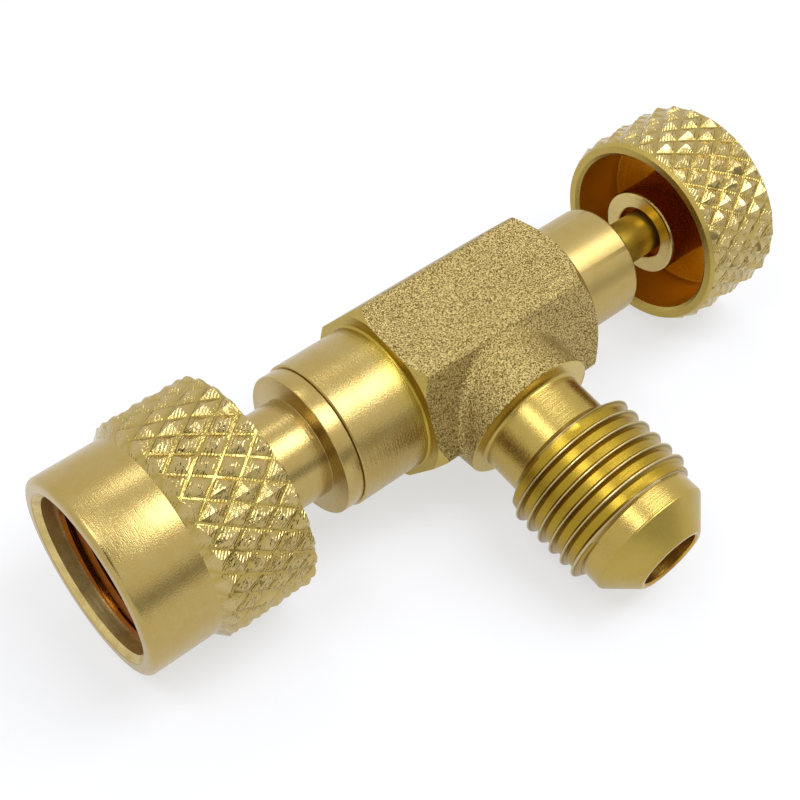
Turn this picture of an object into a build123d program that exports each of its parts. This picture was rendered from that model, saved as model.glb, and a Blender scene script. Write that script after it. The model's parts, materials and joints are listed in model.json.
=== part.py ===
from build123d import *
import os
from math import asin, atan2, cos, degrees, hypot, pi, radians, sin, tan

# Refrigerant service valve. The valve lies along X: the swivel nut's mouth is at x = 0, the handwheel
# is at the +X end, and the flare port leaves the body towards -Y. Millimetres throughout.

# ---- Fits ------------------------------------------------------------------------------------------
running_gap = 0.05  # radial gap of a shaft in its bore
screwed_gap = 0.02  # radial gap left between two screwed pieces
end_gap = 0.02  # gap between two faces that slide on each other
seal_gap = 0.04  # gap round a seal in its housing

# ---- Screw threads (drawn as plain cylinders) ------------------------------------------------------
flare_thread_d = 12.7  # 1/2-20 UNF, the 5/16 inch flare size
flare_thread_pitch = 1.27
tail_thread_d = 10.0
seat_thread_d = 7.0
stem_thread_d = 8.0
gland_thread_d = 8.0

# ---- Swivel nut ------------------------------------------------------------------------------------
nut_length = 14.2
nut_sleeve_d = 16.95
nut_knurl_d = 18.8
nut_sleeve_length = 6.0
nut_mouth_d = 13.6
nut_mouth_depth = 1.6
nut_thread_end = 7.2
nut_relief_length = 0.9
nut_relief_depth = 0.35
nut_chamber_d = 11.8
nut_back_wall = 2.3
nut_mouth_chamfer = 0.25
nut_rear_chamfer = 0.2

# ---- Diamond knurls --------------------------------------------------------------------------------
knurl_starts = 27
knurl_angle = 36.0  # groove angle to the axis
knurl_depth = 0.4
knurl_flank = 55.0  # slope of a diamond's side to the radius
knurl_floor = 0.1  # half the width of the flat left along a groove
knurl_root = 0.065  # how far a diamond is rooted below the groove floor

# ---- Tailpiece -------------------------------------------------------------------------------------
neck_d = 8.56
neck_reveal = 5.45  # neck that shows behind the nut when the nut is drawn forward
flange_d = 12.4
flange_thickness = 1.55
flange_chamfer = 0.15
tail_bore_d = 5.4
tail_thread_length = 3.2
seat_thread_length = 2.0
tail_seal_section = 0.9

# ---- Seat bush, gasket and slip washer ---------------------------------------------------------------
seat_bush_d = 10.8
seat_bush_length = 3.7
seat_rim = 0.4
seat_angle = 45.0
gasket_thickness = 0.4
slip_washer_thickness = 0.46

# ---- Body ------------------------------------------------------------------------------------------
shoulder_d = 12.8
shoulder_length = 6.5
shoulder_chamfer = 0.25
cove_radius = 0.45
bonnet_root_radius = 0.2
hex_width = 14.29  # across flats, 9/16 inch
hex_length = 18.3
hex_front_face_d = 15.0
hex_rear_face_d = 14.2
hex_edge_radius = 0.6
chamber_d = 8.6
chamber_length = 5.9
bonnet_d = 10.0
bonnet_length = 7.2
bonnet_chamfer = 0.3

# ---- Side boss and flare port, measured from the valve's axis -----------------------------------------
port_from_shoulder = 15.3
boss_face = 9.05
boss_face_d = 12.3
boss_shift = 0.2  # the forging's boss is a little off the machined port
boss_rise = 0.45
boss_root = 2.0
boss_root_width = 11.6
boss_root_height = 13.7
boss_root_shift = 0.8
boss_blend = 0.7
port_neck_d = 9.72
port_thread_start = 13.7
port_thread_end = 21.2
port_land_d = 10.96
port_cone_start = 22.9
port_tip_d = 6.3
port_bore_d = 5.4
port_bore_chamfer = 0.15
port_bore_end = 5.2  # where the bore steps down to the gas way
gas_way_d = 3.8
port_thread_rise = 0.9
port_thread_fall = 0.5

# ---- Stem and its seal -------------------------------------------------------------------------------
stem_d = 4.0
stem_travel = 5.4
stem_thread_length = 9.1
stem_flats = 6.4  # across the two flats that let gas past the thread
gland_depth = 8.0
packing_washer_thickness = 1.0
seal_section = 1.5
gland_ring_thickness = 1.0
gland_slot = 1.0
gland_recess = 0.1
gland_thread_length = 3.5
packing_d = 7.2

# ---- Depressor pin -----------------------------------------------------------------------------------
pin_d = 2.2
pin_head_d = 2.8
pin_head_length = 1.0
pin_lip = 1.1
pin_reach = 2.2
pin_tip_round = 0.3
pin_setback = 1.7  # from the middle of the seat to the tip of the pin

# ---- Handwheel ---------------------------------------------------------------------------------------
wheel_d = 18.3
wheel_length = 8.1
wheel_rim_d = 17.1
wheel_bevel_length = 1.1
wheel_cup_d = 15.2
wheel_cup_depth = 5.4
wheel_lip_chamfer = 0.3
wheel_hub_d = 7.96
wheel_hub_recess = 0.2
hub_chamfer = 0.15
wheel_edge_chamfer = 0.4
hub_pocket_d = 4.98
hub_pocket_depth = 1.6
spigot_d = 3.2
spigot_flat = 1.2  # from the axis to the flat that drives the wheel
rivet_depth = 0.7

# ---- Stations along the valve's axis -------------------------------------------------------------------
nut_shoulder = nut_length - nut_back_wall
seat_rear = nut_shoulder - slip_washer_thickness - 2 * end_gap
seat_front = seat_rear - seat_bush_length
flange_front = nut_length + neck_reveal
body_front = flange_front + flange_thickness
hex_front = body_front + shoulder_length
hex_rear = hex_front + hex_length
bonnet_end = hex_rear + bonnet_length
port_x = body_front + port_from_shoulder
hub_face = bonnet_end + stem_travel + running_gap
wheel_mouth = hub_face - wheel_hub_recess
wheel_back = wheel_mouth + wheel_length
cup_floor = wheel_mouth + wheel_cup_depth
chamber_front = port_x - chamber_length / 2
chamber_rear = port_x + chamber_length / 2
gland_floor = bonnet_end - gland_depth
stem_shoulder = chamber_rear - end_gap
stem_thread_front = stem_shoulder - stem_thread_length
tail_end = body_front + tail_thread_length
pocket_floor = hub_face + hub_pocket_depth
gland_thread_front = bonnet_end - gland_thread_length
pin_front = seat_rear - seat_thread_length + pin_setback
port_tip = port_cone_start + (port_land_d - port_tip_d) / 2

port_axis = Axis((port_x, 0, 0), (0, -1, 0))

# The valve rests on both knurls and on the end of the port's thread, so the port droops a little.
rest_height = (nut_knurl_d * (wheel_back - port_x) + wheel_d * (port_x - nut_length)) / (
    2 * (wheel_back - nut_length)
)
thread_reach = hypot(port_thread_end, flare_thread_d / 2)
droop = degrees(asin(rest_height / thread_reach) - atan2(flare_thread_d / 2, port_thread_end))


def turn(points, mode=Mode.ADD):
    """Turn an outline of (x, radius) points about the valve's axis."""
    with BuildSketch(Plane.XY) as outline:
        with BuildLine():
            Polyline(*points, close=True)
        make_face()
    revolve(outline.sketch, axis=Axis.X, mode=mode)


def turn_port(points, mode=Mode.ADD):
    """Turn an outline of (distance from the valve's axis, radius) points about the port's axis."""
    with BuildSketch(Plane((port_x, 0, 0), x_dir=(0, -1, 0), z_dir=(0, 0, 1))) as outline:
        with BuildLine():
            Polyline(*points, close=True)
        make_face()
    revolve(outline.sketch, axis=port_axis, mode=mode)


def knurled_blank(outer_d, start, end):
    """A bar of diamonds, a little longer than the knurl from start to end, with no chamfers yet."""
    floor_r = outer_d / 2 - knurl_depth
    half_width = pi * floor_r / knurl_starts
    half_length = half_width / tan(radians(knurl_angle))
    side = hypot(half_width, half_length)
    inset = half_width * half_length / side - knurl_floor + knurl_root * tan(radians(knurl_flank))
    scale = inset * side / (half_width * half_length)
    cells = []
    for row in range(int((end - start) / half_length) + 3):
        for k in range(knurl_starts):
            angle = 2 * pi * (k + row % 2 / 2) / knurl_starts
            out = Vector(0, cos(angle), sin(angle))
            middle = Vector(start + (row - 0.5) * half_length, 0, 0) + out * (floor_r - knurl_root)
            cells.append(Plane(middle, (1, 0, 0), out))
    low = start - 2 * half_length
    high = end + 2 * half_length
    with BuildPart() as blank:
        with BuildSketch(Plane.YZ.offset(low)):
            RegularPolygon(floor_r, 2 * knurl_starts, major_radius=False, rotation=90 / knurl_starts)
        extrude(amount=high - low)
        with BuildSketch(*cells) as diamonds:
            with BuildLine():
                Polyline(
                    (half_length * scale, 0),
                    (0, half_width * scale),
                    (-half_length * scale, 0),
                    (0, -half_width * scale),
                    close=True,
                )
            make_face()
        extrude(diamonds.sketch, amount=knurl_depth + knurl_root, taper=knurl_flank)
    return blank.part


def seat_ring(section, middle_d, x):
    """Turn a round seal of the given section about the valve's axis."""
    with BuildSketch(Plane.XY) as ring:
        with Locations((x, middle_d / 2)):
            Circle(section / 2)
    revolve(ring.sketch, axis=Axis.X)


def is_ring(edge, x, diameter):
    """Whether a circular edge lies at station x with the given diameter."""
    return abs(edge.arc_center.X - x) < 0.01 and abs(2 * edge.radius - diameter) < 0.01


def lay(part, name):
    """Label a finished piece, turn it to the way the valve lies, and write it."""
    part.label = name
    resting = part.rotate(Axis.X, droop)
    resting.label = name
    export_step(resting, f"parts/{name}.step")


# ---- Swivel nut ------------------------------------------------------------------------------------
nut_minor_r = (flare_thread_d - 1.0825 * flare_thread_pitch) / 2
nut_rise = (nut_knurl_d - nut_sleeve_d) / 2
nut_relief_r = flare_thread_d / 2 + nut_relief_depth
nut_hole_r = neck_d / 2 + running_gap
nut_blank = knurled_blank(nut_knurl_d, nut_sleeve_length, nut_length)
with BuildPart() as swivel_nut:
    add(nut_blank)
    turn(
        [
            (nut_sleeve_length, 0),
            (nut_sleeve_length, nut_sleeve_d / 2),
            (nut_sleeve_length + nut_rise, nut_knurl_d / 2),
            (nut_length - nut_rear_chamfer, nut_knurl_d / 2),
            (nut_length, nut_knurl_d / 2 - nut_rear_chamfer),
            (nut_length, 0),
        ],
        Mode.INTERSECT,
    )
    turn(
        [
            (0, 0),
            (0, nut_sleeve_d / 2 - nut_mouth_chamfer),
            (nut_mouth_chamfer, nut_sleeve_d / 2),
            (nut_sleeve_length, nut_sleeve_d / 2),
            (nut_sleeve_length, 0),
        ]
    )
    turn(
        [
            (0, 0),
            (0, nut_mouth_d / 2),
            (nut_mouth_depth, nut_mouth_d / 2),
            (nut_mouth_depth, flare_thread_d / 2),
            (nut_mouth_depth + flare_thread_d / 2 - nut_minor_r, nut_minor_r),
            (nut_thread_end, nut_minor_r),
            (nut_thread_end, nut_relief_r),
            (nut_thread_end + nut_relief_length, nut_relief_r),
            (nut_thread_end + nut_relief_length, nut_chamber_d / 2),
            (nut_shoulder, nut_chamber_d / 2),
            (nut_shoulder, nut_hole_r),
            (nut_length, nut_hole_r),
            (nut_length, 0),
        ],
        Mode.SUBTRACT,
    )

# ---- Tailpiece: neck, flange and the two screwed ends ------------------------------------------------
seat_spigot_front = seat_rear - seat_thread_length
seal_groove_r = tail_thread_d / 2 - tail_seal_section / 2
seal_groove_end = body_front + tail_seal_section + 2 * seal_gap
with BuildPart() as tailpiece:
    turn(
        [
            (seat_spigot_front, 0),
            (seat_spigot_front, seat_thread_d / 2),
            (seat_rear, seat_thread_d / 2),
            (seat_rear, neck_d / 2),
            (flange_front, neck_d / 2),
            (flange_front, flange_d / 2 - flange_chamfer),
            (flange_front + flange_chamfer, flange_d / 2),
            (body_front - flange_chamfer, flange_d / 2),
            (body_front, flange_d / 2 - flange_chamfer),
            (body_front, seal_groove_r),
            (seal_groove_end, seal_groove_r),
            (seal_groove_end, tail_thread_d / 2),
            (tail_end, tail_thread_d / 2),
            (tail_end, 0),
        ]
    )
    turn(
        [
            (seat_spigot_front, 0),
            (seat_spigot_front, tail_bore_d / 2),
            (tail_end, tail_bore_d / 2),
            (tail_end, 0),
        ],
        Mode.SUBTRACT,
    )

seal_housing_r = seal_groove_r + tail_seal_section + 2 * seal_gap
seal_middle_d = 2 * seal_groove_r + tail_seal_section + 2 * seal_gap
with BuildPart() as tail_seal:
    seat_ring(tail_seal_section, seal_middle_d, body_front + tail_seal_section / 2 + seal_gap)

# ---- Seat bush, gasket and slip washer, inside the nut -------------------------------------------------
seat_bore_r = seat_thread_d / 2 + screwed_gap
seat_mouth_r = seat_bush_d / 2 - seat_rim
seat_cone = (seat_mouth_r - seat_bore_r) / tan(radians(seat_angle))
with BuildPart() as seat_bush:
    turn(
        [
            (seat_front, seat_mouth_r),
            (seat_front, seat_bush_d / 2),
            (seat_rear, seat_bush_d / 2),
            (seat_rear, seat_bore_r),
            (seat_front + seat_cone, seat_bore_r),
        ]
    )

gasket_step = gasket_thickness / sin(radians(seat_angle))
with BuildPart() as flare_gasket:
    turn(
        [
            (seat_front, seat_mouth_r - seal_gap),
            (seat_front + seat_cone - seal_gap, seat_bore_r),
            (seat_front + seat_cone - seal_gap, seat_bore_r - gasket_step),
            (seat_front, seat_mouth_r - seal_gap - gasket_step),
        ]
    )

with BuildPart() as slip_washer:
    turn(
        [
            (seat_rear + end_gap, nut_hole_r),
            (seat_rear + end_gap, seat_bush_d / 2),
            (nut_shoulder - end_gap, seat_bush_d / 2),
            (nut_shoulder - end_gap, nut_hole_r),
        ]
    )

# ---- Body ------------------------------------------------------------------------------------------
hex_corner_r = hex_width / 2 / cos(radians(30))
front_cut = hex_corner_r - hex_front_face_d / 2
rear_cut = hex_corner_r - hex_rear_face_d / 2
with BuildPart() as hex_block:
    with BuildSketch(Plane.YZ.offset(hex_front)):
        RegularPolygon(hex_width / 2, 6, major_radius=False)
    extrude(amount=hex_length)
    fillet(hex_block.edges().filter_by(Axis.X), hex_edge_radius)
    turn(
        [
            (hex_front, 0),
            (hex_front, hex_front_face_d / 2),
            (hex_front + front_cut, hex_corner_r),
            (hex_rear - rear_cut, hex_corner_r),
            (hex_rear, hex_rear_face_d / 2),
            (hex_rear, 0),
        ],
        Mode.INTERSECT,
    )

boss_end = Plane((port_x + boss_shift, -boss_face, boss_rise), x_dir=(1, 0, 0), z_dir=(0, -1, 0))
boss_base = Plane((port_x + boss_root_shift, -boss_root, 0), x_dir=(1, 0, 0), z_dir=(0, -1, 0))
with BuildPart() as body:
    add(hex_block.part)
    with BuildSketch(boss_base):
        Ellipse(boss_root_width / 2, boss_root_height / 2)
    with BuildSketch(boss_end):
        Circle(boss_face_d / 2)
    loft()
    fillet(body.edges(Select.NEW), boss_blend)
    turn(
        [
            (body_front, 0),
            (body_front, shoulder_d / 2 - shoulder_chamfer),
            (body_front + shoulder_chamfer, shoulder_d / 2),
            (hex_front + front_cut, shoulder_d / 2),
            (hex_front + front_cut, 0),
        ]
    )
    turn(
        [
            (hex_rear - rear_cut, 0),
            (hex_rear - rear_cut, bonnet_d / 2),
            (bonnet_end - bonnet_chamfer, bonnet_d / 2),
            (bonnet_end, bonnet_d / 2 - bonnet_chamfer),
            (bonnet_end, 0),
        ]
    )
    rings = body.edges().filter_by(GeomType.CIRCLE)
    fillet(rings.filter_by(lambda e: is_ring(e, hex_front, shoulder_d)), cove_radius)
    fillet(rings.filter_by(lambda e: is_ring(e, hex_rear, bonnet_d)), bonnet_root_radius)
    turn_port(
        [
            (boss_root, 0),
            (boss_root, port_neck_d / 2),
            (port_thread_start - port_thread_rise, port_neck_d / 2),
            (port_thread_start, flare_thread_d / 2),
            (port_thread_end - port_thread_fall, flare_thread_d / 2),
            (port_thread_end, port_land_d / 2),
            (port_cone_start, port_land_d / 2),
            (port_tip, port_tip_d / 2),
            (port_tip, 0),
        ]
    )
    turn(
        [
            (body_front, 0),
            (body_front, seal_housing_r),
            (seal_groove_end, seal_housing_r),
            (seal_groove_end, tail_thread_d / 2 + screwed_gap),
            (tail_end + end_gap, tail_thread_d / 2 + screwed_gap),
            (tail_end + end_gap, stem_thread_d / 2 + screwed_gap),
            (chamber_front, stem_thread_d / 2 + screwed_gap),
            (chamber_front, chamber_d / 2),
            (chamber_rear, chamber_d / 2),
            (chamber_rear, stem_d / 2 + running_gap),
            (gland_floor, stem_d / 2 + running_gap),
            (gland_floor, packing_d / 2),
            (gland_thread_front, packing_d / 2),
            (gland_thread_front, gland_thread_d / 2 + screwed_gap),
            (bonnet_end, gland_thread_d / 2 + screwed_gap),
            (bonnet_end, 0),
        ],
        Mode.SUBTRACT,
    )
    turn_port(
        [
            (0, 0),
            (0, gas_way_d / 2),
            (port_bore_end, gas_way_d / 2),
            (port_bore_end, port_bore_d / 2),
            (port_tip - port_bore_chamfer, port_bore_d / 2),
            (port_tip, port_bore_d / 2 + port_bore_chamfer),
            (port_tip, 0),
        ],
        Mode.SUBTRACT,
    )

# ---- Stem ------------------------------------------------------------------------------------------
stem_tip = pin_front + pin_reach
socket_floor = stem_tip + pin_lip + pin_head_length + 2 * running_gap
spigot_r = spigot_d / 2
with BuildPart() as stem:
    turn(
        [
            (stem_tip, 0),
            (stem_tip, stem_d / 2 - pin_tip_round),
            (stem_tip + pin_tip_round, stem_d / 2),
            (stem_thread_front, stem_d / 2),
            (stem_thread_front, stem_thread_d / 2 - screwed_gap),
            (stem_shoulder, stem_thread_d / 2 - screwed_gap),
            (stem_shoulder, stem_d / 2),
            (pocket_floor, stem_d / 2),
            (pocket_floor, spigot_r),
            (wheel_back - rivet_depth, spigot_r),
            (wheel_back, spigot_r + rivet_depth),
            (wheel_back, 0),
        ]
    )
    with BuildSketch(Plane.YZ.offset(stem_thread_front)):
        Circle(stem_thread_d)
        Rectangle(2 * stem_thread_d, stem_flats, mode=Mode.SUBTRACT)
    extrude(amount=stem_thread_length, mode=Mode.SUBTRACT)
    with BuildSketch(Plane.YZ.offset(pocket_floor)):
        with Locations((0, spigot_flat + spigot_d)):
            Rectangle(2 * spigot_d, 2 * spigot_d)
    extrude(amount=wheel_back - rivet_depth - pocket_floor, mode=Mode.SUBTRACT)
    turn(
        [
            (stem_tip, 0),
            (stem_tip, pin_d / 2 + running_gap),
            (stem_tip + pin_lip, pin_d / 2 + running_gap),
            (stem_tip + pin_lip, pin_head_d / 2 + running_gap),
            (socket_floor, pin_head_d / 2 + running_gap),
            (socket_floor, 0),
        ],
        Mode.SUBTRACT,
    )

with BuildPart() as depressor_pin:
    turn(
        [
            (pin_front, 0),
            (pin_front, pin_d / 2 - pin_tip_round),
            (pin_front + pin_tip_round, pin_d / 2),
            (stem_tip + pin_lip + running_gap, pin_d / 2),
            (stem_tip + pin_lip + running_gap, pin_head_d / 2),
            (socket_floor - running_gap, pin_head_d / 2),
            (socket_floor - running_gap, 0),
        ]
    )

# ---- Stem seal: washer, O-ring, slip ring and gland nut ------------------------------------------------
seal_inner_r = stem_d / 2 + seal_gap
seal_outer_r = packing_d / 2 - seal_gap
seal_front = gland_floor + packing_washer_thickness + end_gap
ring_front = seal_front + seal_section + 2 * seal_gap
nut_front = ring_front + gland_ring_thickness + end_gap
with BuildPart() as packing_washer:
    turn(
        [
            (gland_floor + end_gap, stem_d / 2 + running_gap),
            (gland_floor + end_gap, packing_d / 2 - screwed_gap),
            (gland_floor + packing_washer_thickness, packing_d / 2 - screwed_gap),
            (gland_floor + packing_washer_thickness, stem_d / 2 + running_gap),
        ]
    )

with BuildPart() as stem_seal:
    seat_ring(seal_section, (seal_inner_r + seal_outer_r), seal_front + seal_section / 2 + seal_gap)

with BuildPart() as gland_ring:
    turn(
        [
            (ring_front, stem_d / 2 + running_gap),
            (ring_front, packing_d / 2 - screwed_gap),
            (ring_front + gland_ring_thickness, packing_d / 2 - screwed_gap),
            (ring_front + gland_ring_thickness, stem_d / 2 + running_gap),
        ]
    )

with BuildPart() as gland_nut:
    turn(
        [
            (nut_front, stem_d / 2 + running_gap),
            (nut_front, packing_d / 2 - screwed_gap),
            (gland_thread_front + end_gap, packing_d / 2 - screwed_gap),
            (gland_thread_front + end_gap, gland_thread_d / 2),
            (bonnet_end - gland_recess, gland_thread_d / 2),
            (bonnet_end - gland_recess, stem_d / 2 + running_gap),
        ]
    )
    with BuildSketch(Plane.YZ.offset(bonnet_end - gland_recess)):
        Rectangle(2 * gland_thread_d, gland_slot)
    extrude(amount=-gland_slot, mode=Mode.SUBTRACT)

# ---- Handwheel ---------------------------------------------------------------------------------------
cup_r = wheel_cup_d / 2
hub_r = wheel_hub_d / 2
wheel_blank = knurled_blank(wheel_d, wheel_mouth, wheel_back)
with BuildPart() as handwheel:
    add(wheel_blank)
    turn(
        [
            (wheel_mouth, 0),
            (wheel_mouth, wheel_rim_d / 2),
            (wheel_mouth + wheel_bevel_length, wheel_d / 2),
            (wheel_back - wheel_edge_chamfer, wheel_d / 2),
            (wheel_back, wheel_d / 2 - wheel_edge_chamfer),
            (wheel_back, 0),
        ],
        Mode.INTERSECT,
    )
    turn(
        [
            (wheel_mouth, 0),
            (wheel_mouth, cup_r + wheel_lip_chamfer),
            (wheel_mouth + wheel_lip_chamfer, cup_r),
            (cup_floor, cup_r),
            (cup_floor, hub_r),
            (hub_face + hub_chamfer, hub_r),
            (hub_face, hub_r - hub_chamfer),
            (hub_face, 0),
        ],
        Mode.SUBTRACT,
    )
    turn(
        [
            (hub_face, 0),
            (hub_face, hub_pocket_d / 2),
            (pocket_floor, hub_pocket_d / 2),
            (pocket_floor, spigot_r + screwed_gap),
            (wheel_back - rivet_depth - screwed_gap, spigot_r + screwed_gap),
            (wheel_back, spigot_r + rivet_depth + screwed_gap),
            (wheel_back, 0),
        ],
        Mode.SUBTRACT,
    )
    with BuildSketch(Plane.YZ.offset(pocket_floor)):
        Circle(hub_pocket_d / 2)
        with Locations((0, spigot_flat + screwed_gap - spigot_d)):
            Rectangle(2 * spigot_d, 2 * spigot_d, mode=Mode.SUBTRACT)
    extrude(amount=wheel_back - rivet_depth - screwed_gap - pocket_floor)

os.makedirs("parts", exist_ok=True)
lay(body.part, "body")
lay(tailpiece.part, "tailpiece")
lay(tail_seal.part, "tail_seal")
lay(seat_bush.part, "seat_bush")
lay(flare_gasket.part, "flare_gasket")
lay(slip_washer.part, "slip_washer")
lay(swivel_nut.part, "swivel_nut")
lay(stem.part, "stem")
lay(depressor_pin.part, "depressor_pin")
lay(packing_washer.part, "packing_washer")
lay(stem_seal.part, "stem_seal")
lay(gland_ring.part, "gland_ring")
lay(gland_nut.part, "gland_nut")
lay(handwheel.part, "handwheel")
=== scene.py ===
# %% [markdown]
# # A refrigerant service valve in turned and forged brass
#
# The swivel nut at one end screws onto a cooling circuit, the handwheel at the other drives a stem
# through the body, and the port at the side takes the charging hose.
#
# The imported CAD model gives the frame: where each piece is and what it moves with. This scene
# rebuilds the pieces that show, with real threads, sharp knurls and a soft blend round the boss,
# and gives each a brass that suits how it was made, with some light and shade painted into the
# brasses of its grooves, crests and hollows. Forms are worked out in millimetres.

import json
from math import atan2, cos, degrees, pi, radians, sin, tan

import bmesh
import bpy
import numpy as np
from mathutils import Matrix, Quaternion, Vector

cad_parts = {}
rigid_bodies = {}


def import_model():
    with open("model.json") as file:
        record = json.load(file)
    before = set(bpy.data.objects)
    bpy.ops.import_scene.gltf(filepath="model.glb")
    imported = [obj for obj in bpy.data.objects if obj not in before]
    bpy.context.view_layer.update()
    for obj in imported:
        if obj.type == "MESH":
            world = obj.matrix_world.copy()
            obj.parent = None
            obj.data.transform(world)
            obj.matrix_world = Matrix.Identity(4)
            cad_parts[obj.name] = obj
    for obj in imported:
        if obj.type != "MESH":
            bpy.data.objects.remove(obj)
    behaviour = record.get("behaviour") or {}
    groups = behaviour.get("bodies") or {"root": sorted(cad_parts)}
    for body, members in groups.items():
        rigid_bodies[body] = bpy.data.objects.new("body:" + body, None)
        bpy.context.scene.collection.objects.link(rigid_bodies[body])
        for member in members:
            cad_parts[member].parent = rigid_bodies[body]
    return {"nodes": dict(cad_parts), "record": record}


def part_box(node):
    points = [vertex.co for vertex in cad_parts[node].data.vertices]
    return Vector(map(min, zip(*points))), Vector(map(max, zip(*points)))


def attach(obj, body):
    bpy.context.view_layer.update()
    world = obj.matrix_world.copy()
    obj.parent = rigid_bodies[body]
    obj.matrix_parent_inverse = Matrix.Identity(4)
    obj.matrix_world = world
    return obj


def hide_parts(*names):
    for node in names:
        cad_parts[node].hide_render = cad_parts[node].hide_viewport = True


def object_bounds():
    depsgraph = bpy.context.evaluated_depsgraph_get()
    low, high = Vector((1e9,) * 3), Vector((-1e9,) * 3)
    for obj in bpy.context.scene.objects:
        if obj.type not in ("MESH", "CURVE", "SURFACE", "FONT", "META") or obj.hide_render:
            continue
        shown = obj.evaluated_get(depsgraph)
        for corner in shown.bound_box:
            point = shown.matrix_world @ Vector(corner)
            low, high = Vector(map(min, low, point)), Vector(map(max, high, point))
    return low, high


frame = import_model()
cad_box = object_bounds()
print("CAD box in mm:", [[round(v * 1000, 2) for v in corner] for corner in cad_box])

# %% [markdown]
# ## Sizes read from the frame
#
# The valve's axis is the X axis. The port leaves it sideways and droops a little, because the
# valve lies on its two knurls and on the end of the port. The mounts say where that axis points.

# %% Read the port's axis and the stations of the main pieces
mounts = {m["name"]: m for m in frame["record"]["mounts"]}
port_way = Vector(mounts["port_thread"]["axis"])
port_x = mounts["port_thread"]["pos_m"][0] * 1000
droop = atan2(-port_way.z, -port_way.y)
thread_r = mounts["port_thread"]["dims"]["r_mm"]
bore_r = mounts["port_bore"]["dims"]["r_mm"]
minor_r = mounts["nut_thread"]["dims"]["r_mm"]


def span(node):
    """Lowest and highest X of a CAD node, in millimetres."""
    low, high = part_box(node)
    return low.x * 1000, high.x * 1000


nut_front, nut_rear = span("swivel_nut")
body_front, bonnet_end = span("body")
wheel_front, wheel_rear = span("handwheel")
print("port at", round(port_x, 2), "droop", round(degrees(droop), 2), "degrees")
print("nut", nut_front, nut_rear, "body", body_front, bonnet_end, "wheel", wheel_front, wheel_rear)

# %% [markdown]
# ## From rows of points to a mesh
#
# Most pieces of a valve are turned, so they are a loop of points swept round an axis. A grid of
# rows and columns holds that: each row is one ring, and the radius may vary along the ring.
#
# The valve lies turned about its axis by the port's droop. Grids are made upright and turned last.

# %% Grids of points
SIDES = 288


def ring_angles(count=SIDES):
    """Evenly spaced angles round an axis."""
    return np.arange(count) * (2 * pi / count)


def polar(x, r, angles):
    """A grid of points from stations, radii and angles of the same shape."""
    return np.stack([x, r * np.cos(angles), r * np.sin(angles)], axis=2)


def swept(outline, count=SIDES):
    """A grid (rows, columns, 3) of a turned piece from its (x, radius) outline."""
    x = np.array([p[0] for p in outline])[:, None] + np.zeros(count)
    r = np.array([p[1] for p in outline])[:, None] + np.zeros(count)
    return polar(x, r, ring_angles(count))


def lathe(outline, columns=SIDES, **more):
    """A turned grid from its (x, radius) outline, with its finish."""
    return {"points": swept(outline, columns), **more}


def main_axis(grid):
    """The valve's own axes, turned to the way the valve lies."""
    c, s = cos(droop), sin(droop)
    x, y, z = grid[..., 0], grid[..., 1], grid[..., 2]
    return np.stack([x, y * c - z * s, y * s + z * c], axis=-1)


def port_place(grid):
    """Points made about X are carried to the port: X becomes the distance from the valve's axis."""
    x, y, z = grid[..., 0], grid[..., 1], grid[..., 2]
    return main_axis(np.stack([port_x - y, -x, z], axis=-1))


def grid_faces(rows, columns, loop=True, wrap=True, other=None):
    """Triangles of a grid. `loop` joins the last row to the first and `wrap` the last column.

    Where `other` is true, the quad is cut along its other diagonal.
    """
    i = np.arange(rows if loop else rows - 1)[:, None]
    j = np.arange(columns if wrap else columns - 1)[None, :]
    below, right = (i + 1) % rows, (j + 1) % columns
    a, b = i * columns + j, i * columns + right
    c, d = below * columns + right, below * columns + j
    cut = np.zeros(a.shape, bool) if other is None else other[: a.shape[0], : a.shape[1]]
    first = np.stack([a, b, np.where(cut, d, c)], axis=-1)
    second = np.stack([np.where(cut, b, a), c, d], axis=-1)
    return np.stack([first, second], axis=2).reshape(-1, 3)


print("a turned piece has", SIDES, "sides")

# %% [markdown]
# A piece is joined from several grids, so that a knurl, a thread and a turned face can each have
# rows that suit them. Neighbouring grids end on the same points, which are merged into one closed
# skin. `depth` goes with the points, from 0 on a crest to 1 in a groove, for the brasses to paint
# shade by.
#
# Normals are weighted by the size of the faces, so flat faces stay flat beside their chamfers.

# %% Meshes and pieces
MERGE = 2e-6
THINNEST = 1e-7
SHARP = radians(22)


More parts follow.
